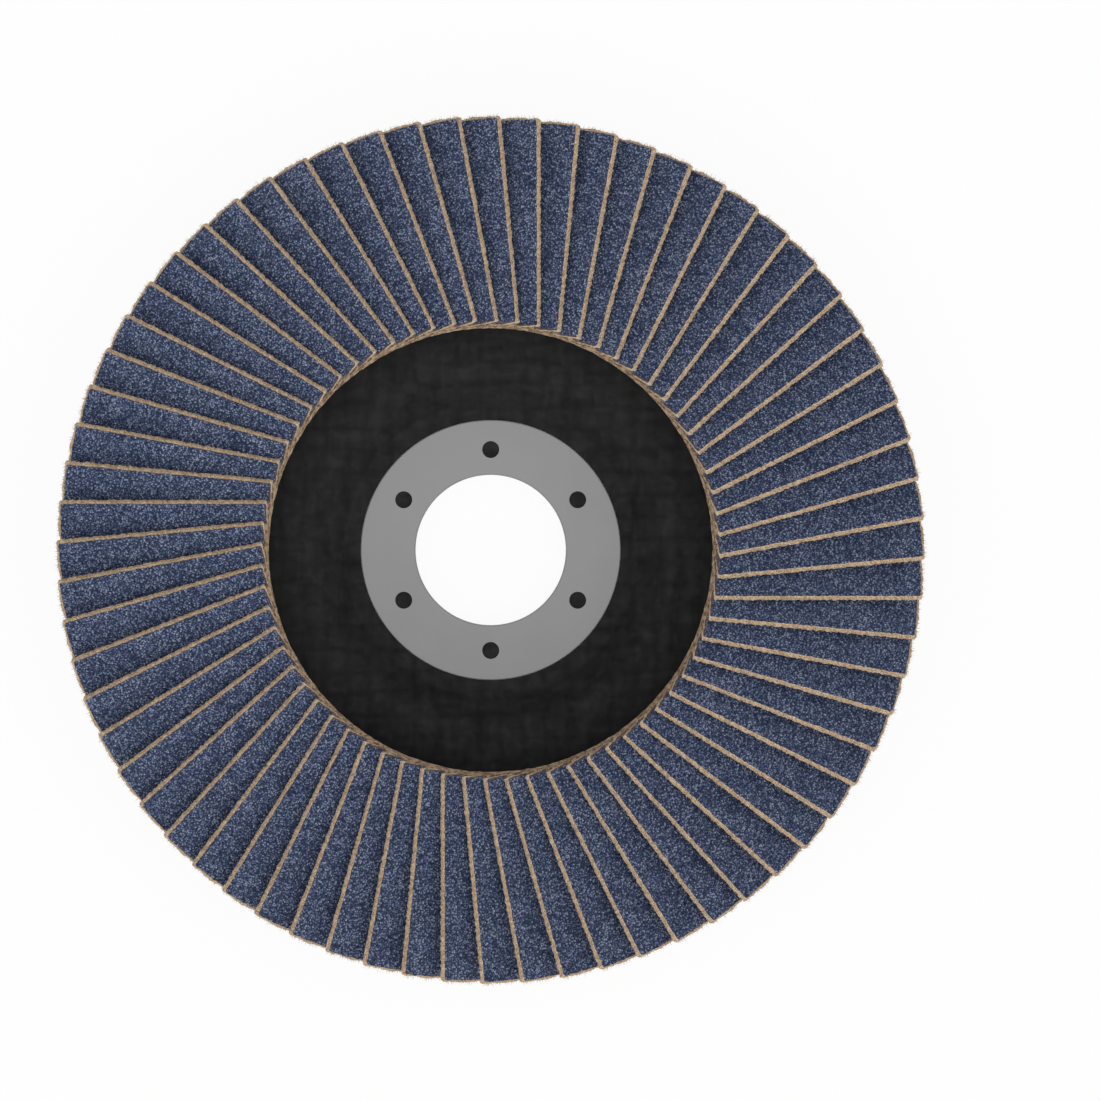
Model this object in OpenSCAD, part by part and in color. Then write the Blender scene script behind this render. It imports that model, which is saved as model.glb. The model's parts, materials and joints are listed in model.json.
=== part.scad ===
// Flap disc for an angle grinder: a fan of abrasive cloth flaps bonded to a dished glass-fibre plate.
// The disc lies on the back of its hub, with the working side up. The origin is on the bore axis.

/* [Disc] */
// Diameter that the outer corners of the flaps reach
disc_d = 125; // [115:1:150]
// Diameter of the arbor hole
bore_d = 22.23; // [20:0.01:24]

/* [Flaps] */
// Number of flaps round the disc
flap_count = 68; // [60:2:72]
// Width of a flap from its glued edge to its free edge
flap_w = 15.6; // [13:0.1:17]
// Length of a flap from its inner end to its outer end
flap_l = 30; // [26:0.5:32]
// Thickness of the backing cloth
cloth_t = 0.75; // [0.5:0.05:0.9]
// Thickness of the abrasive coat on the cloth
grit_t = 0.5; // [0.3:0.05:0.6]
// Strip of bare cloth along the long edges of the abrasive coat, where the cut has chipped the grit away
grit_margin = 0.12; // [0.05:0.01:0.3]
// Strip of bare cloth at the two ends of the abrasive coat
end_margin = 0.28; // [0.1:0.01:0.5]
// Radius of the worn corners of a flap
flap_corner_r = 0.4; // [0.3:0.05:1.5]
// Free space between neighbouring flaps where they lie closest
stack_gap = 0.12; // [0.05:0.01:0.3]
// How far the flaps stand out past the plate
flap_overhang = 3.5; // [2:0.5:6]

/* [Adhesive bed] */
// Thickness of the adhesive on the rim
bed_t = 1.5; // [1.2:0.1:2.5]
// Depth that the glued edges of the flaps sink into the adhesive
flap_sink = 1.0; // [0.6:0.1:1.1]
// Rim left bare between the adhesive and the edge of the plate
bed_margin = 1.0; // [0.5:0.5:2]
// Distance from the inner ends of the flaps to the adhesive
bed_setback = 1.4; // [1.2:0.1:3]
// Clearance between a flap and its pocket in the adhesive
bond_gap = 0.02; // [0.01:0.01:0.05]

/* [Backing plate] */
// Thickness of the glass-fibre laminate
plate_t = 3; // [2.5:0.1:4]
// Height of the rim above the hub
dish_depth = 4.5; // [3:0.5:6]
// Diameter of the flat floor of the hub on the working side
hub_floor_d = 43; // [41:1:46]
// Angle of the slope between hub and rim
slope_angle = 45; // [35:1:60]
// Radius of the inner side of the bends
bend_r = 1.5; // [0.5:0.5:2]
// Radius of the moulded edges at the rim
rim_edge_r = 0.7; // [0.3:0.1:1.2]

/* [Centre ring] */
// Diameter of the steel ring's flange
ring_d = 38.4; // [36:0.1:39]
// Thickness of the ring's flange
flange_t = 0.8; // [0.6:0.1:1]
// Wall thickness of the ring's collar
collar_t = 0.8; // [0.6:0.1:1]
// How far the flange stands proud of the hub
flange_proud = 0.1; // [0:0.05:0.3]
// Distance from the end of the collar to the back of the hub
collar_short = 0.1; // [0:0.05:0.3]
// Radius of the collar's two rims and of the flange's edge
ring_edge_r = 0.25; // [0.1:0.05:0.3]
// Number of anchor holes in the flange
anchor_count = 6; // [4:1:8]
// Diameter of the anchor holes
anchor_d = 2.5; // [1.5:0.1:3]
// Diameter of the circle that the anchor holes lie on
anchor_circle_d = 29.6; // [29:0.1:31]
// How far the resin in the anchor holes lies below the face of the flange
resin_dip = 0.15; // [0.05:0.05:0.3]
// Clearance between the ring and the plate
ring_gap = 0.02; // [0.01:0.01:0.05]

/* [Hidden] */
$fn = 96;
arc_steps = 6;
overlap = 0.1;

pair_count = ceil(flap_count / 2);
function pair_name(i) = str("flap_pair_", i < 10 ? "0" : "", i);

bore_r = bore_d / 2;
collar_r = bore_r + collar_t;
ring_r = ring_d / 2;
anchor_r = anchor_d / 2;
flange_z = plate_t + flange_proud;
recess_z = flange_z - flange_t - ring_gap;

plate_r = disc_d / 2 - flap_overhang;
rim_back_z = dish_depth;
rim_z = dish_depth + plate_t;
slope_run = dish_depth / tan(slope_angle);
// The back of the laminate runs parallel to its front, so its bends lie further out
back_shift = plate_t * tan(slope_angle / 2);
floor_r = hub_floor_d / 2;
crest_r = floor_r + slope_run;

flap_t = cloth_t + grit_t;
pitch = 360 / flap_count;
// The inner ends lie closest together, so they set the tilt at which the flaps just clear each other
closest_y = sqrt(pow(disc_d / 2, 2) - pow(flap_w / 2, 2)) - flap_l;
closest_step = closest_y * sin(pitch) - flap_w / 2 * (1 - cos(pitch));
tilt = asin((flap_t + stack_gap) / closest_step);
// Half the breadth of a tilted flap seen from above, with its thickness
flap_reach = flap_w / 2 * cos(tilt) + flap_t / 2 * sin(tilt);
flap_out = flap_corner_r + sqrt(pow(disc_d / 2 - flap_corner_r, 2) - pow(flap_reach - flap_corner_r, 2));
flap_in = flap_out - flap_l;

bed_z = rim_z + bed_t;
bed_r = plate_r - bed_margin;
bed_in_r = flap_in + bed_setback;
flap_z = bed_z - flap_sink;

function unit(v) = v / norm(v);

function turned(v, angle) = [v[0] * cos(angle) - v[1] * sin(angle), v[0] * sin(angle) + v[1] * cos(angle)];

// The arc that rounds corner b between its neighbours a and c
function corner_arc(a, b, c, r) =
    let(
        to_a = unit(a - b),
        to_c = unit(c - b),
        half = acos(to_a * to_c) / 2,
        centre = b + unit(to_a + to_c) * r / sin(half),
        start = b + to_a * r / tan(half) - centre,
        side = sign(to_a[0] * to_c[1] - to_a[1] * to_c[0]),
        sweep = -side * (180 - 2 * half)
    )
    [for (k = [0:arc_steps]) centre + turned(start, sweep * k / arc_steps)];

// A closed outline from corners given as [x, y, radius]
function rounded(corners) = [
    for (i = [0:len(corners) - 1])
        let(
            n = len(corners),
            a = corners[(i + n - 1) % n],
            b = corners[i],
            c = corners[(i + 1) % n]
        )
        each b[2] == 0
            ? [[b[0], b[1]]]
            : corner_arc([a[0], a[1]], [b[0], b[1]], [c[0], c[1]], b[2])
];

// Half section of the dished laminate, with the recess that takes the ring
module plate_section() {
    polygon(rounded([
        [collar_r + ring_gap, 0, 0],
        [floor_r + back_shift, 0, bend_r + plate_t],
        [crest_r + back_shift, rim_back_z, bend_r],
        [plate_r, rim_back_z, rim_edge_r],
        [plate_r, rim_z, rim_edge_r],
        [crest_r, rim_z, bend_r + plate_t],
        [floor_r, plate_t, bend_r],
        [ring_r + ring_gap, plate_t, 0],
        [ring_r + ring_gap, recess_z, 0],
        [collar_r + ring_gap, recess_z, 0]
    ]));
}

// Places children at each anchor hole of the ring, the first at +Y
module at_anchors() {
    for (i = [0:anchor_count - 1])
        rotate([0, 0, 90 + i * 360 / anchor_count])
            translate([anchor_circle_d / 2, 0, 0])
                children();
}

module backing_plate() {
    color([0.14, 0.14, 0.14]) {
        rotate_extrude()
            plate_section();
        at_anchors()
            translate([0, 0, recess_z - overlap])
                cylinder(h = flange_z - resin_dip - recess_z + overlap, r = anchor_r - ring_gap);
    }
}

// Half section of the ring: a flange on the hub and a collar that lines the hole
module ring_section() {
    polygon(rounded([
        [bore_r, collar_short, ring_edge_r],
        [collar_r, collar_short, ring_edge_r],
        [collar_r, flange_z - flange_t, 0],
        [ring_r, flange_z - flange_t, 0],
        [ring_r, flange_z, ring_edge_r],
        [bore_r, flange_z, ring_edge_r]
    ]));
}

module centre_ring() {
    color([0.57, 0.57, 0.57])
        difference() {
            rotate_extrude()
                ring_section();
            at_anchors()
                translate([0, 0, recess_z])
                    cylinder(h = 2 * flange_t, r = anchor_r);
        }
}

// Moves children from the flat cloth to the place of a flap whose axis is +Y.
// There x runs from the glued edge to the free edge, y outwards and z from cloth to grit.
module in_flap_place() {
    translate([flap_t / 2 * sin(tilt) - flap_w / 2 * cos(tilt), flap_in, flap_z])
        rotate([0, -tilt, 0])
            children();
}

// A blank cut from cloth of thickness t, drawn in by one margin along its sides and another at its ends
module blank(t, side, end) {
    r = max(flap_corner_r - side, grit_margin);
    translate([side, end, 0])
        linear_extrude(t)
            rounded_rectangle(flap_w - 2 * side, flap_l - 2 * end, r);
}

module rounded_rectangle(w, l, r) {
    translate([r, 0])
        square([w - 2 * r, l]);
    translate([0, r])
        square([w, l - 2 * r]);
    for (x = [r, w - r])
        for (y = [r, l - r])
            translate([x, y])
                circle(r);
}

// One flap: woven cloth with the abrasive coat bonded to its upper side
module flap() {
    in_flap_place() {
        blank(cloth_t, 0, 0);
        blank(flap_t, grit_margin, end_margin);
    }
}

// The space that a flap takes in the adhesive
module flap_pocket() {
    in_flap_place()
        translate([-bond_gap, -bond_gap, -bond_gap])
            cube([flap_w, flap_l + 2 * bond_gap, flap_t + 2 * bond_gap]);
}

// Two neighbouring flaps, numbered clockwise from +Y
module flap_pair(i) {
    color([0.32, 0.36, 0.44])
        for (k = [2 * i - 2:min(2 * i - 1, flap_count - 1)])
            rotate([0, 0, -k * pitch])
                flap();
}

// The ring of adhesive, with a pocket for the glued edge of every flap
module adhesive_bed() {
    color([0.35, 0.3, 0.24])
        difference() {
            translate([0, 0, rim_z])
                difference() {
                    cylinder(h = bed_t, r = bed_r);
                    translate([0, 0, -overlap])
                        cylinder(h = bed_t + 2 * overlap, r = bed_in_r);
                }
            for (k = [0:flap_count - 1])
                rotate([0, 0, -k * pitch])
                    flap_pocket();
        }
}

backing_plate();
centre_ring();
adhesive_bed();
for (i = [1:pair_count])
    flap_pair(i);
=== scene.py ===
import json
import math
import random

import bmesh
import bpy
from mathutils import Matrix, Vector


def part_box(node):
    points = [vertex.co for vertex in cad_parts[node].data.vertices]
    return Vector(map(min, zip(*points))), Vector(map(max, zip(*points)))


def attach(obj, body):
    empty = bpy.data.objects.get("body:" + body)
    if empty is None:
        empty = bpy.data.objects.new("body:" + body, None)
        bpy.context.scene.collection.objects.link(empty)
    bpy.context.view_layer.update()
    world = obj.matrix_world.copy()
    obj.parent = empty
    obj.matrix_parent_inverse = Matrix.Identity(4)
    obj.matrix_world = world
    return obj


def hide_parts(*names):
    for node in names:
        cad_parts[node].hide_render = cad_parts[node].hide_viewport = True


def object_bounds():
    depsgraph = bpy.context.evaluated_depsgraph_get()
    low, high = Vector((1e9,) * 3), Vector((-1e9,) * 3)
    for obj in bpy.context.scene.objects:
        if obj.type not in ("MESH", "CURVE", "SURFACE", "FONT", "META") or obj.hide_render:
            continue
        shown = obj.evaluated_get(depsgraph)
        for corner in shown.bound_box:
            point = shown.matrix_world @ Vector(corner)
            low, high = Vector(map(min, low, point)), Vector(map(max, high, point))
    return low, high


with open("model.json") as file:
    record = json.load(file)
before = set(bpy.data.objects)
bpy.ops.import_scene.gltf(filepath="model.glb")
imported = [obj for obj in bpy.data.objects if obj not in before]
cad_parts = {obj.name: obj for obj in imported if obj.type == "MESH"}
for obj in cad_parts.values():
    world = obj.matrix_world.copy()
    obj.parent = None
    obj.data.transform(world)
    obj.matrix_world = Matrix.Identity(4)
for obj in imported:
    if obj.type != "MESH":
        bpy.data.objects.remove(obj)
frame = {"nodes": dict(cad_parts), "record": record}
cad_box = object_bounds()

MM = 0.001
BODY = "root"

# Flaps, as the construction has them
flap_count = 68
flaps_a_piece = 2
flap_w = 15.6 * MM
flap_l = 30 * MM
cloth_t = 0.75 * MM
coat_t = 0.5 * MM
coat_margin = 0.12 * MM
end_margin = 0.28 * MM
flap_corner_r = 0.4 * MM
stack_gap = 0.12 * MM
flap_t = cloth_t + coat_t
disc_r = cad_box[1].x

# The inner ends lie closest together, so they set the tilt at which the flaps just clear each other
pitch = 2 * math.pi / flap_count
closest_y = math.sqrt(disc_r**2 - (flap_w / 2) ** 2) - flap_l
closest_step = closest_y * math.sin(pitch) - flap_w / 2 * (1 - math.cos(pitch))
tilt = math.asin((flap_t + stack_gap) / closest_step)
flap_reach = flap_w / 2 * math.cos(tilt) + flap_t / 2 * math.sin(tilt)
outer_side = math.sqrt((disc_r - flap_corner_r) ** 2 - (flap_reach - flap_corner_r) ** 2)
flap_in = flap_corner_r + outer_side - flap_l
flap_x = flap_t / 2 * math.sin(tilt) - flap_w / 2 * math.cos(tilt)
flap_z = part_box("flap_pair_01")[0].z

# The strip of a flap that its neighbour leaves open, with its fine mesh
open_strip_in = 3.9 * MM
open_strip_out = 7.0 * MM
strip_columns = 28
points_across = strip_columns + 1
row_step = 0.19 * MM
end_step = 0.9 * MM
corner_steps = 3

# Middles of the coat's rounded corners: across the blank, and from either end
coat_corner_r = flap_corner_r - coat_margin
corner_u = coat_margin + coat_corner_r
corner_v = end_margin + coat_corner_r

# Grain and cloth, and the painted light that lightens the shade on the coat beside each neighbouring flap;
# every flap takes its own stretch of the patterns
pattern_step = 1.5 * flap_l
grain_size = 0.28 * MM
grain_depth = 0.2 * MM
yarn_step = 0.65 * MM
painted_light_width = 1.3 * MM
painted_light_tint = (1.0, 0.8, 0.55)

# Fray of the cut edges: the ends fray less than the sides, and the coat's rim only half as much
fray = 0.13 * MM
fray_step = 0.5 * MM
outer_fray_share = 0.75
inner_fray_share = 0.7
rim_fray_share = 0.5
end_facing = 0.9
edge_swell = 0.05 * MM

# Loops of points down a cut edge: share of the way out from the coat's outline to the cloth's,
# height, and share of the fray
edge_loops = (
    (0.08, cloth_t + coat_t / 2, 0.6),
    (0.17, cloth_t, 0.8),
    (0.95, cloth_t - 0.02 * MM, 1.0),
    (1.0, cloth_t / 2, 1.0),
    (0.9, 0, 0.8),
)

# Trimmed ends: the outer one bows out behind its corner and has a tuft, the inner one is cut shorter
end_bow = 0.23 * MM
bow_run = 3.5 * MM
bow_depth = 2 * MM
end_tuft = 0.11 * MM
tuft_middle = 3.8 * MM
tuft_half_width = 1.5 * MM
inner_trim = 0.07 * MM
trim_depth = 1.2 * MM

# Loose yarn ends along the open part of the outer end
loose_threads = 60
thread_seed = 68
thread_run = 7.3 * MM
thread_start = 0.15 * MM
thread_root = 0.12 * MM
thread_r = 0.035 * MM
thread_reach = (0.25 * MM, 0.65 * MM)
thread_slant = 0.6
thread_lift = 0.3
thread_sway = 1.8
tip_fray = 2.4

# Backing plate and ring, from the frame where it has them
plate_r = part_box("backing_plate")[1].x
rim_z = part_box("backing_plate")[1].z
plate_t = 3 * MM
floor_r = 21.5 * MM
slope_angle = math.radians(45)
bend_r = 1.5 * MM
rim_edge_r = 0.7 * MM
plate_turns = 480
arc_steps = 6
plate_sharp_angle = math.radians(40)
ring_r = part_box("centre_ring")[1].x
flange_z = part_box("centre_ring")[1].z
flange_t = 0.8 * MM
bore_r = frame["record"]["mounts"][0]["dims"]["r_mm"] * MM
collar_t = 0.8 * MM
ring_gap = 0.02 * MM
anchor_count = 6
anchor_r = 1.25 * MM
anchor_circle_r = 14.8 * MM
anchor_steps = 48
resin_dip = 0.15 * MM
resin_hollow = 0.06 * MM
resin_root = 0.1 * MM

# The laminate's weave, whose yarns stray a little from the straight
weave_pitch = 3.23 * MM
weave_depth = 0.03 * MM
long_stray = 0.35 * MM
short_stray = 0.2 * MM

# Painted light: plate and ring are painted lighter in this direction across the disc, standing in for light
# that falls more on that side
painted_light_slope = (-0.4, 0.9, 0)

# Adhesive bed
bed_setback = 1.4 * MM
bed_in_r = flap_in + bed_setback
bed_out_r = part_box("adhesive_bed")[1].x
bed_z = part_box("adhesive_bed")[1].z
bed_shoulder = 0.5 * MM
bed_step = 3.5 * MM
bed_turns = flap_count * 6
bed_sharp_angle = math.radians(60)
slump_run = 3 * MM
foot_height = 0.1 * MM
top_slump = 0.7

# Camera, as far above the flaps as the photograph's perspective tells
camera_height = 543 * MM
field_width = 158.2 * MM
sensor = 36
disc_left_of_middle = 0.0539

# Studio light: an even dome that is weaker beyond the top of the picture
dome_strength = 1.215
dim_strength = 0.535
dim_direction = (-0.11, 0.99, 0)
dim_start, dim_full = 0.1, 0.5

# The floor lies just under the disc. It shows mostly as white, and for the rest as it is lit
floor_half = 2.0
floor_drop = 0.02 * MM
floor_white_share = 0.93


def new_object(name, mesh):
    thing = bpy.data.objects.new(name, mesh)
    bpy.context.scene.collection.objects.link(thing)
    return thing


def add_node(tree, kind, inputs=None, **settings):
    """A node with its settings, whose inputs are linked to sockets or set to values."""
    node = tree.nodes.new(kind)
    for name, value in settings.items():
        setattr(node, name, value)
    for name, value in (inputs or {}).items():
        if isinstance(value, bpy.types.NodeSocket):
            tree.links.new(value, node.inputs[name])
        else:
            node.inputs[name].default_value = value
    return node


def calc(tree, operation, a, b=0.0, **settings):
    return add_node(tree, "ShaderNodeMath", {0: a, 1: b}, operation=operation, **settings).outputs[0]


def vector_calc(tree, operation, a, b=(0, 0, 0), output="Vector"):
    node = add_node(tree, "ShaderNodeVectorMath", {0: a, 1: b}, operation=operation)
    return node.outputs[output]


def scaled(tree, vector, factor):
    node = add_node(tree, "ShaderNodeVectorMath", {0: vector, "Scale": factor}, operation="SCALE")
    return node.outputs[0]


def noise(tree, place, size, detail=2.0, output=0):
    inputs = {"Vector": place, "Scale": 1 / size, "Detail": detail}
    return add_node(tree, "ShaderNodeTexNoise", inputs).outputs[output]


def ranged(tree, value, low, high, to_low=0.0, to_high=1.0, smooth=False):
    kind = "SMOOTHSTEP" if smooth else "LINEAR"
    inputs = {"Value": value, "From Min": low, "From Max": high, "To Min": to_low, "To Max": to_high}
    return add_node(tree, "ShaderNodeMapRange", inputs, interpolation_type=kind).outputs[0]


def blend_colours(tree, factor, a, b, kind="MIX"):
    node = add_node(tree, "ShaderNodeMix", data_type="RGBA", blend_type=kind)
    for index, value in ((0, factor), (6, a), (7, b)):
        if isinstance(value, bpy.types.NodeSocket):
            tree.links.new(value, node.inputs[index])
        elif index == 0:
            node.inputs[index].default_value = value
        else:
            node.inputs[index].default_value = (*value, 1)
    return node.outputs[2]


def colour_ramp(tree, value, stops):
    ramp = add_node(tree, "ShaderNodeValToRGB", {0: value})
    elements = ramp.color_ramp.elements
    while len(elements) < len(stops):
        elements.new(1)
    for element, (place, colour) in zip(elements, stops):
        element.position = place
        element.color = (*colour, 1)
    return ramp.outputs[0]


def new_material(name):
    """A material with its node tree and its main shader."""
    material = bpy.data.materials.new(name)
    material.use_nodes = True
    tree = material.node_tree
    return material, tree, tree.nodes["Principled BSDF"]


def bump(tree, shader, height, distance, strength=1.0):
    inputs = {"Height": height, "Distance": distance, "Strength": strength}
    node = add_node(tree, "ShaderNodeBump", inputs)
    tree.links.new(node.outputs[0], shader.inputs["Normal"])


def cloth_place(tree):
    """Place on the flat cloth, which each piece carries with it."""
    return add_node(tree, "ShaderNodeAttribute", attribute_name="cloth_place").outputs["Vector"]


def way_along(tree, place):
    """Distance from a flap's inner end."""
    axes = add_node(tree, "ShaderNodeSeparateXYZ", {0: place})
    return calc(tree, "MODULO", axes.outputs[1], pattern_step)


def painted_light_share(tree, across, along):
    """Share of painted light on the coat beside the neighbouring flap, lightening the shade there, more
    towards the outer end.
    """
    near_width = flap_in * pitch / math.cos(tilt)
    widening = pitch / math.cos(tilt)
    open_width = calc(tree, "ADD", calc(tree, "MULTIPLY", along, widening), near_width)
    from_neighbour = calc(tree, "ADD", calc(tree, "SUBTRACT", across, flap_w), open_width)
    beside = ranged(tree, from_neighbour, 0.0, painted_light_width, 1.0, 0.0)
    outwards = ranged(tree, along, 3 * MM, 24 * MM, 0.25, 0.95)
    return calc(tree, "MULTIPLY", beside, outwards)


def grain_colour(tree, place, cells, grain):
    """Each grain has its own blue-grey shade, and the resin between the grains is darker."""
    speck = noise(tree, place, 0.17 * MM, 2.0)
    own = calc(tree, "MULTIPLY", grain.outputs[0], 0.55)
    shade = calc(tree, "ADD", own, calc(tree, "MULTIPLY", speck, 0.5))
    drift = ranged(tree, noise(tree, place, 2.5 * MM), 0.3, 0.7, -0.06, 0.06)
    shade = calc(tree, "ADD", shade, drift)
    colour = colour_ramp(
        tree,
        shade,
        [
            (0.15, (0.015, 0.024, 0.057)),
            (0.4, (0.071, 0.1, 0.192)),
            (0.62, (0.156, 0.193, 0.315)),
            (0.88, (0.33, 0.38, 0.495)),
        ],
    )
    gap = ranged(tree, cells.outputs["Distance"], 0.3, 0.6, 1.0, 0.15, smooth=True)
    return blend_colours(tree, gap, (0.008, 0.014, 0.036), colour)


def coat_ends(tree, colour, place, across, along):
    """Brown resin at both ends of the coat, and a mottle of tan and dark brown on the covered part of its
    inner end.
    """
    inner = ranged(tree, along, 0.25 * MM, 0.55 * MM, 0.85, 0.0, smooth=True)
    outer = ranged(tree, along, flap_l - 0.25 * MM, flap_l - 0.05 * MM, 0.0, 0.35, smooth=True)
    resin = calc(tree, "MAXIMUM", inner, outer)
    colour = blend_colours(tree, resin, colour, (0.1, 0.066, 0.052))
    covered = ranged(tree, across, 11.8 * MM, 12.9 * MM, 1.0, 0.0, smooth=True)
    near_end = ranged(tree, along, 0.5 * MM, 0.8 * MM, 1.0, 0.0, smooth=True)
    blot = ranged(tree, noise(tree, place, 0.5 * MM, 2.0), 0.4, 0.6, smooth=True)
    brown_mottle = blend_colours(tree, blot, (0.16, 0.105, 0.067), (0.48, 0.355, 0.235))
    return blend_colours(tree, calc(tree, "MULTIPLY", covered, near_end), colour, brown_mottle)


def grit_material():
    """Blue-grey zirconia grains in resin, with painted light that lightens the shade beside the
    neighbouring flap.
    """
    material, tree, shader = new_material("zirconia_grit")
    place = cloth_place(tree)
    cells = add_node(tree, "ShaderNodeTexVoronoi", {"Vector": place, "Scale": 1 / grain_size})
    grain = add_node(tree, "ShaderNodeSeparateColor", {0: cells.outputs["Color"]})
    colour = grain_colour(tree, place, cells, grain)
    across = add_node(tree, "ShaderNodeSeparateXYZ", {0: place}).outputs[0]
    along = way_along(tree, place)
    # Painted light: a warm pale lift of the colour beside the neighbouring flap, where that flap's shade
    # falls
    painted_light = scaled(tree, painted_light_tint, painted_light_share(tree, across, along))
    lightened_colour = vector_calc(tree, "MULTIPLY", colour, vector_calc(tree, "ADD", painted_light, (1, 1, 1)))
    tree.links.new(coat_ends(tree, lightened_colour, place, across, along), shader.inputs["Base Color"])
    rough = ranged(tree, grain.outputs[1], 0, 1, 0.42, 0.72)
    tree.links.new(rough, shader.inputs["Roughness"])
    shader.inputs["Specular IOR Level"].default_value = 0.15
    bump(tree, shader, noise(tree, place, 0.1 * MM, 2.0), 0.03 * MM, 0.5)
    return material


def strand_noise(tree, axes):
    """Strokes of the twisted yarns, which slant across the cloth's faces and its cut edges."""
    sideways = calc(tree, "ADD", axes.outputs[0], axes.outputs[1])
    lengthways = calc(tree, "SUBTRACT", axes.outputs[0], axes.outputs[1])
    across = calc(tree, "ADD", sideways, calc(tree, "MULTIPLY", axes.outputs[2], 1.2))
    inputs = {
        "X": calc(tree, "DIVIDE", across, 0.26 * MM),
        "Y": calc(tree, "DIVIDE", lengthways, 1.1 * MM),
        "Z": calc(tree, "DIVIDE", axes.outputs[2], 0.9 * MM),
    }
    return noise(tree, add_node(tree, "ShaderNodeCombineXYZ", inputs).outputs[0], 1.0, 3.0)


def cloth_ends(tree, colour, place, across, along):
    """The outer end is darker, and the inner end is stained but for a clean stretch."""
    darker_outer_end = ranged(tree, along, flap_l - 0.5 * MM, flap_l - 0.1 * MM, 0.0, 0.15, smooth=True)
    colour = blend_colours(tree, darker_outer_end, colour, (0.24, 0.17, 0.11))
    inner_end = ranged(tree, along, 0.1 * MM, 0.6 * MM, 0.75, 0.0, smooth=True)
    blot = ranged(tree, noise(tree, place, 0.8 * MM, 2.0), 0.42, 0.58, smooth=True)
    stained = blend_colours(tree, blot, (0.175, 0.113, 0.073), (0.5, 0.385, 0.27))
    clean_side = ranged(tree, across, 12 * MM, 16 * MM, smooth=True)
    end_colour = blend_colours(tree, clean_side, stained, (0.59, 0.5, 0.4))
    return blend_colours(tree, inner_end, colour, end_colour)


def cloth_material():
    """Tan backing cloth: a plain weave on its faces and cut yarn ends along its edges."""
    material, tree, shader = new_material("backing_cloth")
    place = cloth_place(tree)
    axes = add_node(tree, "ShaderNodeSeparateXYZ", {0: place})
    warp = calc(tree, "SINE", calc(tree, "MULTIPLY", axes.outputs[0], math.pi / yarn_step))
    weft = calc(tree, "SINE", calc(tree, "MULTIPLY", axes.outputs[1], math.pi / yarn_step))
    crown = calc(tree, "ABSOLUTE", calc(tree, "MULTIPLY", warp, weft))
    crown = calc(tree, "POWER", crown, 0.5)
    fibre = ranged(tree, noise(tree, place, 0.19 * MM, 3.0), 0.25, 0.75, 0.02, 0.98)
    strands = ranged(tree, strand_noise(tree, axes), 0.3, 0.7)
    shade = calc(tree, "ADD", calc(tree, "MULTIPLY", strands, 0.36), calc(tree, "MULTIPLY", fibre, 0.6))
    shade = calc(tree, "ADD", shade, calc(tree, "MULTIPLY", crown, 0.12))
    colour = colour_ramp(
        tree,
        shade,
        [
            (0.25, (0.26, 0.173, 0.105)),
            (0.52, (0.508, 0.374, 0.242)),
            (0.8, (0.72, 0.565, 0.41)),
        ],
    )
    colour = cloth_ends(tree, colour, place, axes.outputs[0], way_along(tree, place))
    tree.links.new(colour, shader.inputs["Base Color"])
    shader.inputs["Roughness"].default_value = 0.9
    shader.inputs["Specular IOR Level"].default_value = 0.1
    bump(tree, shader, calc(tree, "ADD", shade, crown), 0.06 * MM, 0.6)
    return material


def fabric_axes(tree):
    """Place across the plate's woven glass cloth, a little out of true as a real cloth lies."""
    place = add_node(tree, "ShaderNodeTexCoord").outputs["Object"]
    wander = noise(tree, place, 7 * MM, 2.0, output=1)
    wander = scaled(tree, vector_calc(tree, "SUBTRACT", wander, (0.5, 0.5, 0.5)), 1.6 * MM)
    return vector_calc(tree, "ADD", place, wander)


def glass_yarns(tree, place, cross):
    """Streaks along the glass yarns, of the warp or the weft, whichever lies on top."""
    on_top = ranged(tree, cross, -0.15, 0.15, smooth=True)
    wide, long = 1.3 * MM, 7 * MM
    warp_yarn = noise(tree, vector_calc(tree, "DIVIDE", place, (wide, long, long)), 1.0, 4.0)
    weft_yarn = noise(tree, vector_calc(tree, "DIVIDE", place, (long, wide, long)), 1.0, 4.0)
    both = calc(tree, "MULTIPLY", calc(tree, "ADD", warp_yarn, weft_yarn), 0.5)
    yarn = add_node(tree, "ShaderNodeMix", {0: on_top, 2: weft_yarn, 3: warp_yarn}).outputs[0]
    return add_node(tree, "ShaderNodeMix", {0: 0.6, 2: yarn, 3: both}).outputs[0]


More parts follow.
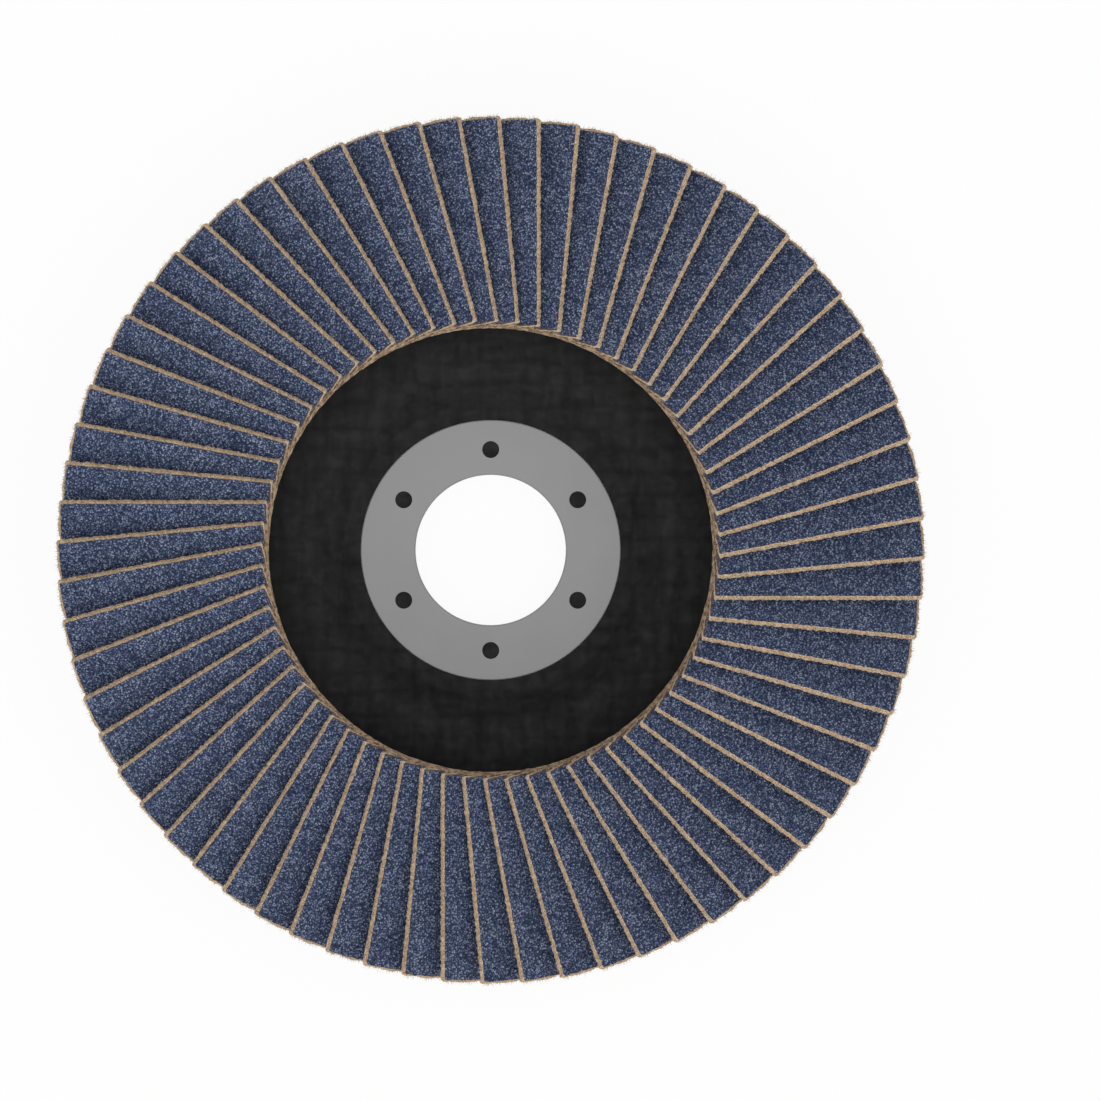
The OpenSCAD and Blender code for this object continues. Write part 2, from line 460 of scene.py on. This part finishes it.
def laminate_material():
    """Black phenolic laminate whose plain weave of glass yarns shows through the resin, with painted light
    that makes it lighter towards one side of the disc.
    """
    material, tree, shader = new_material("glass_fibre_laminate")
    place = fabric_axes(tree)
    axes = add_node(tree, "ShaderNodeSeparateXYZ", {0: place})
    across = calc(tree, "COSINE", calc(tree, "MULTIPLY", axes.outputs[0], math.pi / weave_pitch))
    along = calc(tree, "COSINE", calc(tree, "MULTIPLY", axes.outputs[1], math.pi / weave_pitch))
    cross = calc(tree, "MULTIPLY", across, along)
    crown = ranged(tree, calc(tree, "ABSOLUTE", cross), 0.0, 0.7, smooth=True)
    yarn = glass_yarns(tree, place, cross)
    cloud = noise(tree, place, 5 * MM, 3.0)
    shade = calc(tree, "ADD", calc(tree, "MULTIPLY", crown, 0.09), calc(tree, "MULTIPLY", yarn, 0.85))
    shade = calc(tree, "ADD", shade, calc(tree, "MULTIPLY", cloud, 0.3))
    patch = ranged(tree, noise(tree, place, 1.6 * MM, 1.0), 0.45, 0.75, 0.0, 0.16, smooth=True)
    shade = calc(tree, "ADD", shade, patch)
    # Painted light: the laminate's colour grows lighter across the disc, standing in for light that falls
    # more on one side
    painted_light_side = vector_calc(tree, "DOT_PRODUCT", place, painted_light_slope, output="Value")
    shade = calc(tree, "ADD", shade, calc(tree, "MULTIPLY", painted_light_side, 2.2))
    dark, pale = (0.0051, 0.0052, 0.0053), (0.0247, 0.0249, 0.0252)
    tree.links.new(colour_ramp(tree, shade, [(0.3, dark), (0.9, pale)]), shader.inputs["Base Color"])
    rough = ranged(tree, shade, 0.3, 0.9, 0.72, 0.55)
    tree.links.new(rough, shader.inputs["Roughness"])
    shader.inputs["Specular IOR Level"].default_value = 0.08
    height = calc(tree, "ADD", calc(tree, "MULTIPLY", crown, 0.4), calc(tree, "MULTIPLY", yarn, 0.6))
    bump(tree, shader, height, 0.06 * MM, 0.6)
    return material


def ring_material():
    """Dull zinc-plated steel, faintly marked by rolling and handling, with painted light that makes it
    lighter towards one side of the disc.
    """
    material, tree, shader = new_material("ring_steel")
    place = add_node(tree, "ShaderNodeTexCoord").outputs["Object"]
    cloud = noise(tree, place, 9 * MM, 3.0)
    grain = noise(tree, place, 0.15 * MM, 2.0)
    shade = calc(tree, "ADD", calc(tree, "MULTIPLY", cloud, 0.7), calc(tree, "MULTIPLY", grain, 0.3))
    # Painted light: the ring's colour grows lighter across the disc, standing in for light that falls more
    # on one side
    painted_light_side = vector_calc(tree, "DOT_PRODUCT", place, painted_light_slope, output="Value")
    shade = calc(tree, "ADD", shade, calc(tree, "MULTIPLY", painted_light_side, 14.0))
    dark, pale = (0.283, 0.283, 0.285), (0.334, 0.334, 0.336)
    colour = colour_ramp(tree, shade, [(0.3, dark), (0.7, pale)])
    tree.links.new(colour, shader.inputs["Base Color"])
    shader.inputs["Metallic"].default_value = 0.6
    rough = ranged(tree, shade, 0.3, 0.7, 0.5, 0.62)
    tree.links.new(rough, shader.inputs["Roughness"])
    bump(tree, shader, grain, 0.006 * MM, 0.5)
    return material


def adhesive_material():
    """Cured brown epoxy, semi-matt, with small flow marks."""
    material, tree, shader = new_material("bonding_adhesive")
    place = add_node(tree, "ShaderNodeTexCoord").outputs["Object"]
    flow = noise(tree, place, 2.2 * MM, 3.0)
    colour = colour_ramp(tree, flow, [(0.3, (0.05, 0.033, 0.02)), (0.7, (0.13, 0.09, 0.055))])
    tree.links.new(colour, shader.inputs["Base Color"])
    rough = ranged(tree, flow, 0.3, 0.7, 0.35, 0.55)
    tree.links.new(rough, shader.inputs["Roughness"])
    bump(tree, shader, flow, 0.1 * MM, 0.5)
    return material


def open_strip(v):
    """Width of the fine mesh at distance v along the flap."""
    return open_strip_in + (open_strip_out - open_strip_in) * v / flap_l


def end_shift(u, v):
    """How far the trimmed ends lie off the straight: the outer end bows out behind its corner,
    and at the inner end less of the cloth stands out past the coat."""
    behind_corner = min(max(min(u, flap_w - u) / bow_run, 0.0), 1.0)
    near_outer = min(max((v - flap_l) / bow_depth + 1, 0.0), 1.0)
    near_inner = min(max(1 - (v - end_margin) / trim_depth, 0.0), 1.0)
    trim = inner_trim * (1 - 2 * min(v / end_margin, 1.0))
    past_coat = min(max((v - flap_l + end_margin) / end_margin, 0.0), 1.0)
    from_tuft = (flap_w - u - tuft_middle) / tuft_half_width
    tuft = end_tuft * max(1 - from_tuft**2, 0.0) * past_coat
    return end_bow * behind_corner * near_outer + tuft + trim * near_inner


def rim_normal(u, v):
    """Outward direction at a point of the coat's rounded outline."""
    near_u = min(max(u, corner_u), flap_w - corner_u)
    near_v = min(max(v, corner_v), flap_l - corner_v)
    return Vector((u - near_u, v - near_v, 0)).normalized()


def cloth_edge(u, v):
    """The point of the cloth's outline that belongs to a point of the coat's outline."""
    stretch_u = (flap_w + 2 * edge_swell) / (flap_w - 2 * coat_margin)
    stretch_v = flap_l / (flap_l - 2 * end_margin)
    return Vector((flap_w / 2 + (u - flap_w / 2) * stretch_u, flap_l / 2 + (v - flap_l / 2) * stretch_v, 0))


def corner_points(u, v, start_angle):
    """Points on the coat's outline round a corner, over a quarter turn."""
    angles = [start_angle + math.pi / 2 * k / corner_steps for k in range(corner_steps + 1)]
    return [(u + coat_corner_r * math.cos(a), v + coat_corner_r * math.sin(a)) for a in angles]


def strip_rows():
    """(distance along the blank, place of the coat's free edge) of each row of the fine mesh."""
    lower = [(v, u) for u, v in corner_points(flap_w - corner_u, corner_v, -math.pi / 2)]
    upper = [(v, u) for u, v in corner_points(flap_w - corner_u, flap_l - corner_v, 0)]
    run = flap_l - 2 * corner_v
    count = round(run / row_step)
    straight = [(corner_v + run * k / count, flap_w - coat_margin) for k in range(1, count)]
    return lower + straight + upper


def hidden_rim(rows):
    """The coat's outline round the glued edge, from the outer end to the inner end."""
    first, last = rows[0][0], rows[-1][0]
    points = []
    for v, middle_v, angle in ((last, flap_l - corner_v, math.pi / 2), (first, corner_v, math.pi)):
        edge = flap_w - open_strip(v)
        count = round((edge - corner_u) / end_step)
        run = [(edge + (corner_u - edge) * k / count, v) for k in range(1, count)]
        corner = corner_points(corner_u, middle_v, angle)
        points += run + corner if v == last else corner + run[::-1]
    return points


def thread_ends():
    """(base, tip, sway) of the short yarn ends that stand out from the cut outer end of the cloth.
    The sway moves them sideways with the fray, so that they lie differently on every flap."""
    chance = random.Random(thread_seed)
    ends = []
    for k in range(loose_threads):
        u = flap_w - thread_start - thread_run * (k + chance.random()) / loose_threads
        base = Vector((u, flap_l - thread_root, cloth_t * chance.uniform(0.12, 0.88)))
        reach = chance.uniform(*thread_reach)
        slant = chance.uniform(-thread_slant, thread_slant)
        lift = chance.uniform(-thread_lift, thread_lift)
        sway = chance.uniform(-thread_sway, thread_sway)
        ends.append((base, base + Vector((slant, 1, lift)) * reach, sway))
    return ends


def add_threads(points, faces, lean):
    """Loose yarn ends as three-sided spikes, whose tips fray further than their bases."""
    base_lean, tip_lean = outer_fray_share, tip_fray * outer_fray_share
    for base, tip, sway in thread_ends():
        start = len(points)
        for turn in (0, 1, 2):
            angle = turn * 2 * math.pi / 3
            x, z = thread_r * math.cos(angle), thread_r * math.sin(angle)
            points.append((base.x + x, base.y, base.z + z))
        points.append(tuple(tip))
        lean += [Vector((sway, base_lean, 0))] * 3 + [Vector((sway, tip_lean, 0))]
        faces.append((start, start + 1, start + 2))
        faces += [(start + (turn + 1) % 3, start + turn, start + 3) for turn in (0, 1, 2)]


def coat_grid(rows):
    """Points and faces of the fine mesh on the coat's open strip."""
    points, faces = [], []
    for v, edge in rows:
        start = flap_w - open_strip(v)
        points += [(start + (edge - start) * k / strip_columns, v, flap_t) for k in range(points_across)]
    for row in range(len(rows) - 1):
        for k in range(strip_columns):
            a = row * points_across + k
            faces.append((a, a + 1, a + points_across + 1, a + points_across))
    return points, faces


def grid_rim(row_count):
    """Numbers of the fine mesh's points along the inner end, the free edge and the outer end."""
    last_row = (row_count - 1) * points_across
    inner_end = list(range(points_across))
    free_edge = [row * points_across + strip_columns for row in range(1, row_count)]
    outer_end = [last_row + k for k in range(strip_columns - 1, -1, -1)]
    return inner_end + free_edge + outer_end


def fray_share(n):
    """Share of the fray where the outline faces n."""
    if n.y > end_facing:
        return outer_fray_share
    return inner_fray_share if n.y < -end_facing else 1


def add_cut_edges(points, faces, lean, rim, normals):
    """The cut edges, loop by loop from the coat's outline down, and the back of the cloth."""
    coat_line = [Vector((*points[i][:2], 0)) for i in rim]
    cloth_line = [cloth_edge(*points[i][:2]) for i in rim]
    upper = rim
    for out, height, share in edge_loops:
        lower = list(range(len(points), len(points) + len(rim)))
        for inner, outer, n in zip(coat_line, cloth_line, normals):
            place = inner.lerp(outer, out)
            points.append((place.x, place.y, height))
            lean.append(n * share * fray_share(n))
        for k in range(len(rim)):
            after = (k + 1) % len(rim)
            faces.append((upper[k], lower[k], lower[after], upper[after]))
        upper = lower
    faces.append(upper[::-1])


def blank_mesh():
    """One flat blank of coated cloth as a closed shell: x from glued to free edge, y outwards, z up to
    the grit. Its attributes say how far each point follows the grain and which way its edge frays."""
    rows = strip_rows()
    points, faces = coat_grid(rows)
    grain = [1.0 if i % points_across else 0.0 for i in range(len(points))]
    hidden = hidden_rim(rows)
    hidden_ids = list(range(len(points), len(points) + len(hidden)))
    points += [(u, v, flap_t) for u, v in hidden]
    faces.append([row * points_across for row in range(len(rows))] + hidden_ids)
    rim = grid_rim(len(rows)) + hidden_ids
    normals = [rim_normal(*points[i][:2]) for i in rim]
    lean = [Vector((0, 0, 0)) for _ in points]
    for i, n in zip(rim, normals):
        lean[i] = n * rim_fray_share
    add_cut_edges(points, faces, lean, rim, normals)
    add_threads(points, faces, lean)
    grain += [0.0] * (len(points) - len(grain))
    points = [(u, v + end_shift(u, v), height) for u, v, height in points]
    mesh = bpy.data.meshes.new("flap_blank")
    mesh.from_pydata(points, [], faces)
    follow = mesh.attributes.new("grain", "FLOAT", "POINT")
    follow.data.foreach_set("value", grain)
    fraying = mesh.attributes.new("lean", "FLOAT_VECTOR", "POINT")
    fraying.data.foreach_set("vector", [x for n in lean for x in n])
    mesh.validate()
    return mesh


def named(tree, name, kind="FLOAT"):
    node = add_node(tree, "GeometryNodeInputNamedAttribute", {"Name": name}, data_type=kind)
    return node.outputs[0]


def grain_offset(tree, sizes, place):
    """How far each point moves so that the coat breaks up into angular grains."""
    inputs = {"Vector": place, "Scale": calc(tree, "DIVIDE", 1.0, sizes["Grain size"])}
    cells = add_node(tree, "ShaderNodeTexVoronoi", inputs)
    chance = add_node(tree, "ShaderNodeSeparateXYZ", {0: cells.outputs["Color"]})
    facing = vector_calc(tree, "SUBTRACT", cells.outputs["Color"], (0.5, 0.5, 0.5))
    from_middle = vector_calc(tree, "SUBTRACT", place, cells.outputs["Position"])
    from_middle = scaled(tree, from_middle, calc(tree, "DIVIDE", 1.0, sizes["Grain size"]))
    slope = vector_calc(tree, "DOT_PRODUCT", from_middle, facing, output="Value")
    fall = calc(tree, "MULTIPLY", cells.outputs["Distance"], 0.9)
    drop = calc(tree, "ADD", fall, calc(tree, "MULTIPLY", chance.outputs[0], 0.4))
    drop = calc(tree, "ADD", drop, calc(tree, "MULTIPLY", slope, 0.8), use_clamp=True)
    depth = calc(tree, "MULTIPLY", drop, sizes["Grain depth"])
    depth = calc(tree, "MULTIPLY", depth, named(tree, "grain"))
    return add_node(tree, "ShaderNodeCombineXYZ", {"Z": calc(tree, "MULTIPLY", depth, -1.0)}).outputs[0]


def side_jitter(tree, sizes, place):
    """A small sideways shift of the grain's points, so that no regular mesh shows."""
    shift = noise(tree, place, 0.2 * MM, 0.0, output=1)
    shift = vector_calc(tree, "SUBTRACT", shift, (0.5, 0.5, 0.5))
    shift = vector_calc(tree, "MULTIPLY", shift, (1, 1, 0))
    amount = calc(tree, "MULTIPLY", sizes["Grain size"], named(tree, "grain"))
    return scaled(tree, shift, calc(tree, "MULTIPLY", amount, 0.4))


def fray_offset(tree, sizes, place):
    """How far the cut edges wander in and out with the yarns."""
    coarse = add_node(tree, "ShaderNodeTexNoise", {
        "Vector": vector_calc(tree, "MULTIPLY", place, (1, 1, 0.3)),
        "Scale": calc(tree, "DIVIDE", 1.0, sizes["Fray spacing"]),
        "Detail": 1.0,
    })
    wave = ranged(tree, coarse.outputs[0], 0.3, 0.7, -1.0, 1.1)
    return scaled(tree, named(tree, "lean", "FLOAT_VECTOR"), calc(tree, "MULTIPLY", wave, sizes["Fray"]))


FAN_SIZES = {
    "Tilt": "NodeSocketFloat",
    "Seat": "NodeSocketVector",
    "Pitch": "NodeSocketFloat",
    "First flap": "NodeSocketInt",
    "Flaps": "NodeSocketInt",
    "Flap spacing in pattern": "NodeSocketFloat",
    "Grain size": "NodeSocketFloat",
    "Grain depth": "NodeSocketFloat",
    "Fray spacing": "NodeSocketFloat",
    "Fray": "NodeSocketFloat",
    "Coat height": "NodeSocketFloat",
    "Cloth": "NodeSocketMaterial",
    "Grit": "NodeSocketMaterial",
}


def turned(tree, geometry, angle_x=0.0, angle_y=0.0, angle_z=0.0, move=(0, 0, 0)):
    angles = add_node(tree, "ShaderNodeCombineXYZ", {"X": angle_x, "Y": angle_y, "Z": angle_z})
    rotation = add_node(tree, "FunctionNodeEulerToRotation", {0: angles.outputs[0]})
    inputs = {"Geometry": geometry, "Translation": move, "Rotation": rotation.outputs[0]}
    return add_node(tree, "GeometryNodeTransform", inputs).outputs[0]


def own_blank(tree, sizes, blank, number):
    """The blank with the grain and the frayed edges of one flap, from its own patch of the patterns."""
    shift = calc(tree, "MULTIPLY", number, sizes["Flap spacing in pattern"])
    patch = add_node(tree, "ShaderNodeCombineXYZ", {"Y": shift}).outputs[0]
    position = tree.nodes.new("GeometryNodeInputPosition").outputs[0]
    own_place = vector_calc(tree, "ADD", position, patch)
    inputs = {"Geometry": blank, "Name": "cloth_place", "Value": own_place}
    marked = add_node(tree, "GeometryNodeStoreNamedAttribute", inputs, data_type="FLOAT_VECTOR")
    place = named(tree, "cloth_place", "FLOAT_VECTOR")
    offset = vector_calc(tree, "ADD", grain_offset(tree, sizes, place), side_jitter(tree, sizes, place))
    offset = vector_calc(tree, "ADD", offset, fray_offset(tree, sizes, place))
    inputs = {"Geometry": marked.outputs[0], "Offset": offset}
    return add_node(tree, "GeometryNodeSetPosition", inputs).outputs[0]


def coated_cloth(tree, sizes, flaps):
    """Cloth for the whole flap, and grit where it stands above the cloth."""
    place = add_node(tree, "ShaderNodeSeparateXYZ", {0: named(tree, "cloth_place", "FLOAT_VECTOR")})
    inputs = {0: place.outputs[2], 1: sizes["Coat height"]}
    is_coat = add_node(tree, "FunctionNodeCompare", inputs, operation="GREATER_THAN").outputs[0]
    inputs = {"Geometry": flaps, "Material": sizes["Cloth"]}
    woven = add_node(tree, "GeometryNodeSetMaterial", inputs).outputs[0]
    inputs = {"Geometry": woven, "Selection": is_coat, "Material": sizes["Grit"]}
    return add_node(tree, "GeometryNodeSetMaterial", inputs).outputs[0]


def fan_tree():
    """Geometry nodes that make a run of neighbouring flaps from the blank: each gets its own grain and
    frayed edges while it is flat, is tilted onto its seat and turned to its place round the disc."""
    tree = bpy.data.node_groups.new("flap_fan", "GeometryNodeTree")
    tree.interface.new_socket("Blank", in_out="INPUT", socket_type="NodeSocketGeometry")
    for name, kind in FAN_SIZES.items():
        tree.interface.new_socket(name, in_out="INPUT", socket_type=kind)
    tree.interface.new_socket("Flaps", in_out="OUTPUT", socket_type="NodeSocketGeometry")
    sizes = tree.nodes.new("NodeGroupInput").outputs
    start = tree.nodes.new("GeometryNodeRepeatInput")
    end = tree.nodes.new("GeometryNodeRepeatOutput")
    start.pair_with_output(end)
    tree.links.new(sizes["Flaps"], start.inputs["Iterations"])
    number = calc(tree, "ADD", start.outputs["Iteration"], sizes["First flap"])
    rough = own_blank(tree, sizes, sizes["Blank"], number)
    seated = turned(tree, rough, angle_y=calc(tree, "MULTIPLY", sizes["Tilt"], -1.0), move=sizes["Seat"])
    angle = calc(tree, "MULTIPLY", calc(tree, "MULTIPLY", number, sizes["Pitch"]), -1.0)
    flap = turned(tree, seated, angle_z=angle)
    both = tree.nodes.new("GeometryNodeJoinGeometry")
    tree.links.new(start.outputs["Geometry"], both.inputs[0])
    tree.links.new(flap, both.inputs[0])
    tree.links.new(both.outputs[0], end.inputs["Geometry"])
    real = add_node(tree, "GeometryNodeRealizeInstances", {"Geometry": end.outputs["Geometry"]})
    result = tree.nodes.new("NodeGroupOutput")
    tree.links.new(coated_cloth(tree, sizes, real.outputs[0]), result.inputs[0])
    return tree


def set_inputs(modifier, values):
    """Sets a node modifier's named inputs by the identifiers of their sockets."""
    for item in modifier.node_group.interface.items_tree:
        if item.in_out == "INPUT" and item.name in values:
            modifier[item.identifier] = values[item.name]


def plain_mesh(name, source):
    """The evaluated result of source as a plain mesh on an object of its own."""
    graph = bpy.context.evaluated_depsgraph_get()
    mesh = bpy.data.meshes.new_from_object(source.evaluated_get(graph))
    mesh.name = name
    return new_object(name, mesh)


def flap_pieces():
    """The 68 flaps, two to a piece, in the places of the construction's pairs."""
    blank = blank_mesh()
    tree = fan_tree()
    cloth, grit = cloth_material(), grit_material()
    for pair in range(flap_count // flaps_a_piece):
        source = new_object("flap_source", blank)
        modifier = source.modifiers.new("fan", "NODES")
        modifier.node_group = tree
        set_inputs(modifier, {
            "Tilt": tilt,
            "Seat": (flap_x, flap_in, flap_z),
            "Pitch": pitch,
            "First flap": pair * flaps_a_piece,
            "Flaps": flaps_a_piece,
            "Flap spacing in pattern": pattern_step,
            "Grain size": grain_size,
            "Grain depth": grain_depth,
            "Fray spacing": fray_step,
            "Fray": fray,
            "Coat height": cloth_t + coat_t / 2,
            "Cloth": cloth,
            "Grit": grit,
        })
        number = f"{pair + 1:02d}"
        piece = plain_mesh(f"abrasive_flaps_{number}", source)
        bpy.data.objects.remove(source)
        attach(piece, BODY)
        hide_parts(f"flap_pair_{number}")


def arc_points(before, corner, after, radius, steps):
    """The arc that rounds a corner of a section between its neighbours."""
    to_before = (before - corner).normalized()
    to_after = (after - corner).normalized()
    half = to_before.angle(to_after) / 2
    centre = corner + (to_before + to_after).normalized() * radius / math.sin(half)
    start = corner + to_before * radius / math.tan(half) - centre
    side = 1 if to_before.cross(to_after) > 0 else -1
    sweep = -side * (math.pi - 2 * half)
    turns = [sweep * k / steps for k in range(steps + 1)]
    return [centre + Vector((start.x * math.cos(t) - start.y * math.sin(t),
                             start.x * math.sin(t) + start.y * math.cos(t))) for t in turns]


def section_points(corners):
    """(radius, height, weave share) round a closed half section, from corners given as
    (radius, height, rounding, spacing of the points up to the next corner, weave share there)."""
    count = len(corners)
    arcs = []
    for i, (r, z, rounding, _, _) in enumerate(corners):
        before = Vector(corners[i - 1][:2])
        after = Vector(corners[(i + 1) % count][:2])
        here = Vector((r, z))
        arcs.append(arc_points(before, here, after, rounding, arc_steps) if rounding else [here])
    points = []
    for i, (_, _, _, step, share) in enumerate(corners):
        points += [(*p, share) for p in arcs[i]]
        start, finish = arcs[i][-1], arcs[(i + 1) % count][0]
        parts = max(1, round((finish - start).length / step))
        points += [(*start.lerp(finish, k / parts), share) for k in range(1, parts)]
    return points


def yarn_stray(along, long_wave, short_wave, start):
    """How far a yarn lies off its straight line, at a distance along it."""
    return long_stray * math.sin(along / long_wave + start) + short_stray * math.sin(along / short_wave)


def weave_drop(x, y):
    """Depth of the laminate's surface below the crowns of its yarns."""
    across = math.cos(math.pi * (x + yarn_stray(y, 9 * MM, 3.7 * MM, 1.3)) / weave_pitch)
    along = math.cos(math.pi * (y + yarn_stray(x, 8 * MM, 4.1 * MM, 0.4)) / weave_pitch)
    return weave_depth * (1 - abs(across * along) ** 0.5)


def revolved(name, section, turns, drop=None):
    """A closed mesh from a half section turned round the Z axis; drop gives its surface relief."""
    points = []
    for turn in range(turns):
        angle = 2 * math.pi * turn / turns
        for r, z, share in section:
            x, y = r * math.cos(angle), r * math.sin(angle)
            points.append((x, y, z - share * drop(x, y) if drop and share else z))
    faces = []
    size = len(section)
    for turn in range(turns):
        after = (turn + 1) % turns
        for k in range(size):
            j = (k + 1) % size
            faces.append((turn * size + k, after * size + k, after * size + j, turn * size + j))
    mesh = bpy.data.meshes.new(name)
    mesh.from_pydata(points, [], faces)
    return mesh


def plate_mesh():
    """The dished laminate with its woven relief on both sides, and the resin in the ring's anchor holes."""
    back_shift = plate_t * math.tan(slope_angle / 2)
    rim_back_z = rim_z - plate_t
    crest_r = floor_r + rim_back_z / math.tan(slope_angle)
    recess_z = flange_z - flange_t - ring_gap
    hole_r = bore_r + collar_t + ring_gap
    recess_r = ring_r + ring_gap
    fine, wide = 0.6 * MM, 6 * MM
    section = section_points([
        (hole_r, 0, 0, fine, -1),
        (floor_r + back_shift, 0, bend_r + plate_t, fine, -1),
        (crest_r + back_shift, rim_back_z, bend_r, fine, -1),
        (plate_r, rim_back_z, rim_edge_r, fine, 0),
        (plate_r, rim_z, rim_edge_r, wide, 0),
        (crest_r, rim_z, bend_r + plate_t, fine, 1),
        (floor_r, plate_t, bend_r, fine, 1),
        (recess_r, plate_t, 0, fine, 0),
        (recess_r, recess_z, 0, wide, 0),
        (hole_r, recess_z, 0, wide, 0),
    ])
    mesh = revolved("laminate_plate", section, plate_turns, weave_drop)
    add_anchors(mesh, recess_z)
    return mesh


def add_anchors(mesh, bottom):
    """Adds the plugs of resin that fill the ring's anchor holes, each with a slightly hollow top."""
    shape = bmesh.new()
    shape.from_mesh(mesh)
    radius, top = anchor_r - ring_gap, flange_z - resin_dip
    for i in range(anchor_count):
        angle = math.pi / 2 + 2 * math.pi * i / anchor_count
        middle = Vector((anchor_circle_r * math.cos(angle), anchor_circle_r * math.sin(angle), 0))
        rings = []
        for r, z in ((radius, bottom - resin_root), (radius, top), (radius * 0.7, top - resin_hollow)):
            turns = [2 * math.pi * k / anchor_steps for k in range(anchor_steps)]
            spots = [middle + Vector((r * math.cos(t), r * math.sin(t), z)) for t in turns]
            rings.append([shape.verts.new(spot) for spot in spots])
        for low, high in zip(rings, rings[1:]):
            for k in range(anchor_steps):
                after = (k + 1) % anchor_steps
                shape.faces.new((low[k], low[after], high[after], high[k]))
        shape.faces.new(rings[0][::-1])
        shape.faces.new(rings[-1])
    shape.to_mesh(mesh)
    shape.free()


def smooth(thing, angle):
    thing.data.shade_smooth()
    thing.data.set_sharp_from_angle(angle=angle)


def plate_piece():
    piece = new_object("laminate_plate", plate_mesh())
    smooth(piece, plate_sharp_angle)
    piece.data.materials.append(laminate_material())
    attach(piece, BODY)
    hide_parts("backing_plate")


def dress_ring():
    ring = frame["nodes"]["centre_ring"]
    ring.data.materials.clear()
    ring.data.materials.append(ring_material())


def squeezed_out(angle):
    """How far the adhesive was pressed out past its even edge at this angle, a little under every flap."""
    under_flaps = 0.14 * math.sin(flap_count * angle + 0.6 * math.sin(5 * angle))
    lumps = 0.12 * math.sin(23 * angle + 1.1) + 0.09 * math.sin(41 * angle + 2.0)
    ripples = 0.06 * math.sin(113 * angle + 0.4)
    return (under_flaps + lumps + ripples) * MM


def bed_mesh():
    """The cured adhesive on the plate's rim: a low ring with round shoulders and uneven edges."""
    section = section_points([
        (bed_in_r, rim_z, 0, 3 * bed_step, 0),
        (bed_out_r, rim_z, 0, bed_step, 0),
        (bed_out_r, bed_z, bed_shoulder, bed_step, 0),
        (bed_in_r, bed_z, bed_shoulder, bed_step, 0),
    ])
    mesh = revolved("adhesive_ring", section, bed_turns)
    for vertex in mesh.vertices:
        x, y, z = vertex.co
        radius, angle = math.hypot(x, y), math.atan2(y, x)
        to_outer = max(1 - (bed_out_r - radius) / slump_run, 0.0)
        to_inner = max(1 - (radius - bed_in_r) / slump_run, 0.0)
        slump = 1.0 if z < rim_z + foot_height else top_slump
        shift = squeezed_out(angle) * slump * (to_outer - to_inner)
        vertex.co.x += shift * x / radius
        vertex.co.y += shift * y / radius
    return mesh


def bed_piece():
    piece = new_object("adhesive_ring", bed_mesh())
    smooth(piece, bed_sharp_angle)
    piece.data.materials.append(adhesive_material())
    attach(piece, BODY)
    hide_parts("adhesive_bed")


def white_for_sight(tree):
    """1 for rays that see a thing straight, mirrored or through glass, 0 for those that light the disc."""
    rays = tree.nodes.new("ShaderNodeLightPath")
    seen = calc(tree, "ADD", rays.outputs["Is Camera Ray"], rays.outputs["Is Glossy Ray"])
    return calc(tree, "ADD", seen, rays.outputs["Is Transmission Ray"], use_clamp=True)


def build_floor():
    """A plain pale floor that keeps a faint shadow of the disc."""
    mesh = bpy.data.meshes.new("floor")
    sides = ((-1, -1), (1, -1), (1, 1), (-1, 1))
    corners = [(x * floor_half, y * floor_half, -floor_drop) for x, y in sides]
    mesh.from_pydata(corners, [], [(0, 1, 2, 3)])
    floor = new_object("floor", mesh)
    material, tree, shader = new_material("pale_floor")
    shader.inputs["Base Color"].default_value = (0.9, 0.9, 0.9, 1)
    shader.inputs["Roughness"].default_value = 0.9
    shader.inputs["Specular IOR Level"].default_value = 0.0
    white = add_node(tree, "ShaderNodeEmission", {"Color": (1, 1, 1, 1), "Strength": 1.0})
    share = calc(tree, "MULTIPLY", white_for_sight(tree), floor_white_share)
    mix = add_node(tree, "ShaderNodeMixShader", {0: share, 1: shader.outputs[0], 2: white.outputs[0]})
    tree.links.new(mix.outputs[0], tree.nodes["Material Output"].inputs["Surface"])
    floor.data.materials.append(material)


def build_world():
    """Soft studio light from all round, weaker beyond the top of the picture, with a white background."""
    world = bpy.data.worlds.new("studio")
    bpy.context.scene.world = world
    world.use_nodes = True
    tree = world.node_tree
    dome = tree.nodes["Background"]
    dome.inputs["Color"].default_value = (1, 1, 1, 1)
    way = add_node(tree, "ShaderNodeTexCoord").outputs["Generated"]
    towards_dim = vector_calc(tree, "DOT_PRODUCT", way, dim_direction, output="Value")
    light = ranged(tree, towards_dim, dim_start, dim_full, dome_strength, dim_strength, smooth=True)
    strength = add_node(tree, "ShaderNodeMix", {0: white_for_sight(tree), 2: light, 3: 1.0}).outputs[0]
    tree.links.new(strength, dome.inputs["Strength"])


def build_camera():
    """Looks straight down, with the disc left of the middle as in the photograph."""
    camera = bpy.data.cameras.new("camera")
    camera.sensor_width = sensor
    camera.lens = sensor * camera_height / field_width
    camera.shift_x = disc_left_of_middle
    camera.clip_start = 0.01
    eye = bpy.data.objects.new("camera", camera)
    bpy.context.scene.collection.objects.link(eye)
    eye.location = (0, 0, cad_box[1].z + camera_height)
    bpy.context.scene.camera = eye


bpy.context.scene.view_settings.view_transform = "Standard"
build_world()
build_floor()
build_camera()
plate_piece()
dress_ring()
bed_piece()
flap_pieces()
